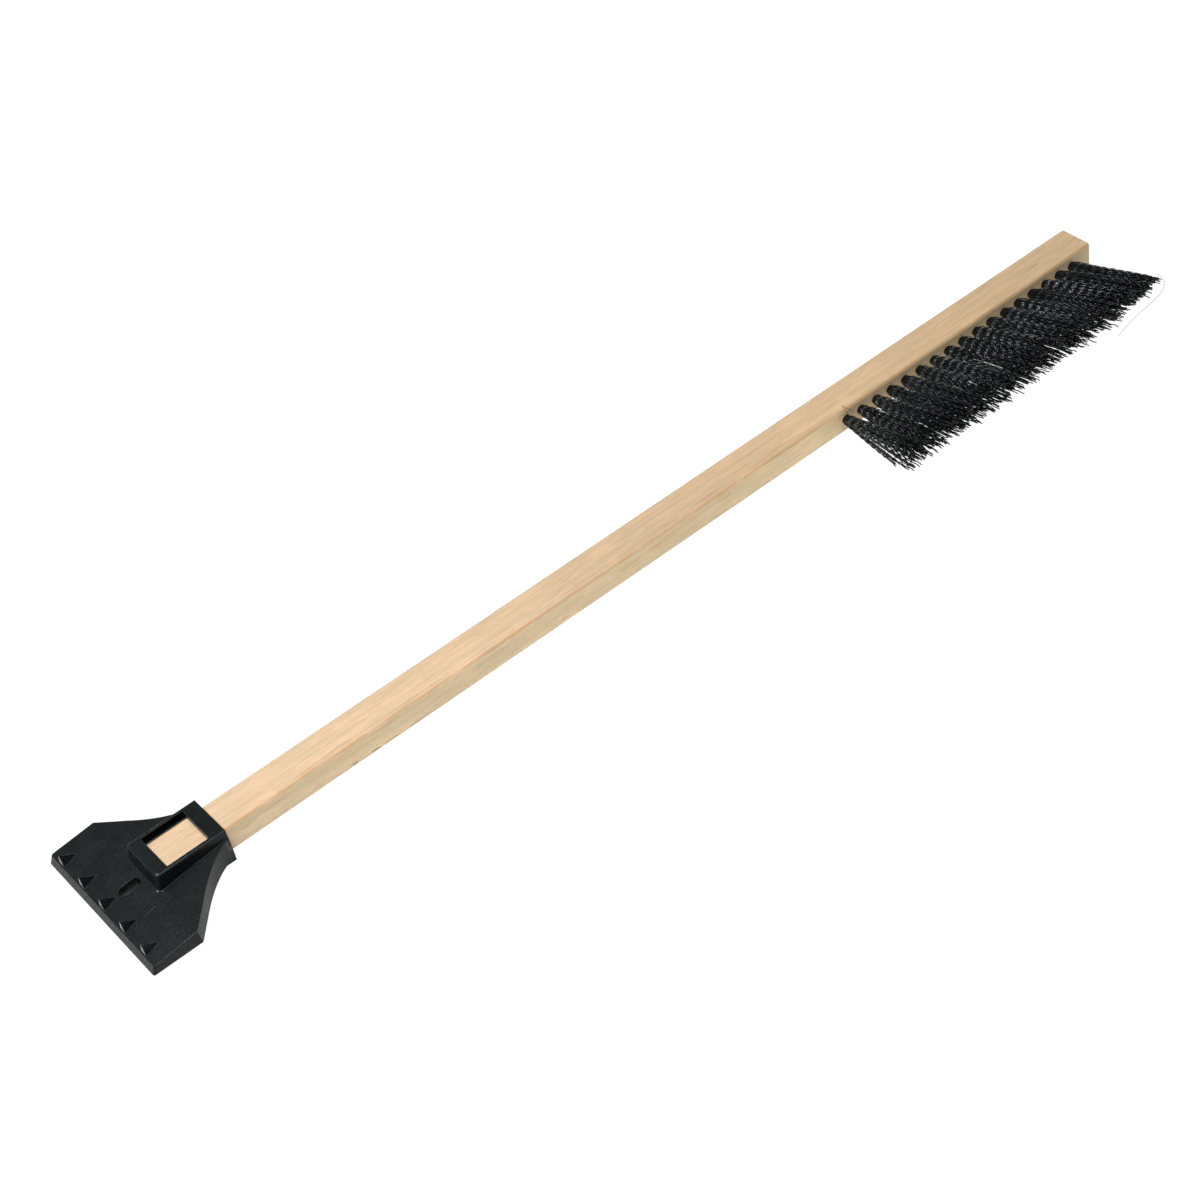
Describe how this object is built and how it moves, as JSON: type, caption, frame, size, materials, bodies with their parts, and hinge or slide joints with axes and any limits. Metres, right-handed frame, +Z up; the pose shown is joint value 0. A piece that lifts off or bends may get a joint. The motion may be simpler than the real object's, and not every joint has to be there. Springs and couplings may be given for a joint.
{
  "type": "snow brush scraper",
  "caption": "Snow brush with a straight rectangular wooden handle, a row of splayed black crimped bristle tufts on one side and a toothed black plastic scraper socketed on its other end.",
  "frame": {"origin": "centre of the handle's section at the mouth of the scraper's collar", "axes": "+X along the handle from the scraper to the brush end, -Y towards the bristle tips, +Z up out of the toothed face of the blade"},
  "size_m": [0.711, 0.113, 0.0219],
  "materials": {
    "wood": "bare, finely sanded pale close-grained hardwood",
    "head_plastic": "injection-moulded black polypropylene, fine matte texture",
    "bristle": "black crimped polypropylene filament with a slight sheen",
    "anchor_steel": "flattened bright wire",
    "nail_steel": "bright wire nail"
  },
  "bodies": {
    "root": {"wooden_handle": "wood", "scraper_head": "head_plastic", "bristle_tuft_01": "bristle", "bristle_tuft_02": "bristle", "bristle_tuft_03": "bristle", "bristle_tuft_04": "bristle", "bristle_tuft_05": "bristle", "bristle_tuft_06": "bristle", "bristle_tuft_07": "bristle", "bristle_tuft_08": "bristle", "bristle_tuft_09": "bristle", "bristle_tuft_10": "bristle", "bristle_tuft_11": "bristle", "bristle_tuft_12": "bristle", "bristle_tuft_13": "bristle", "bristle_tuft_14": "bristle", "bristle_tuft_15": "bristle", "bristle_tuft_16": "bristle", "bristle_tuft_17": "bristle", "tuft_anchors": "anchor_steel", "head_nails": "nail_steel"}
  },
  "joints": []
}
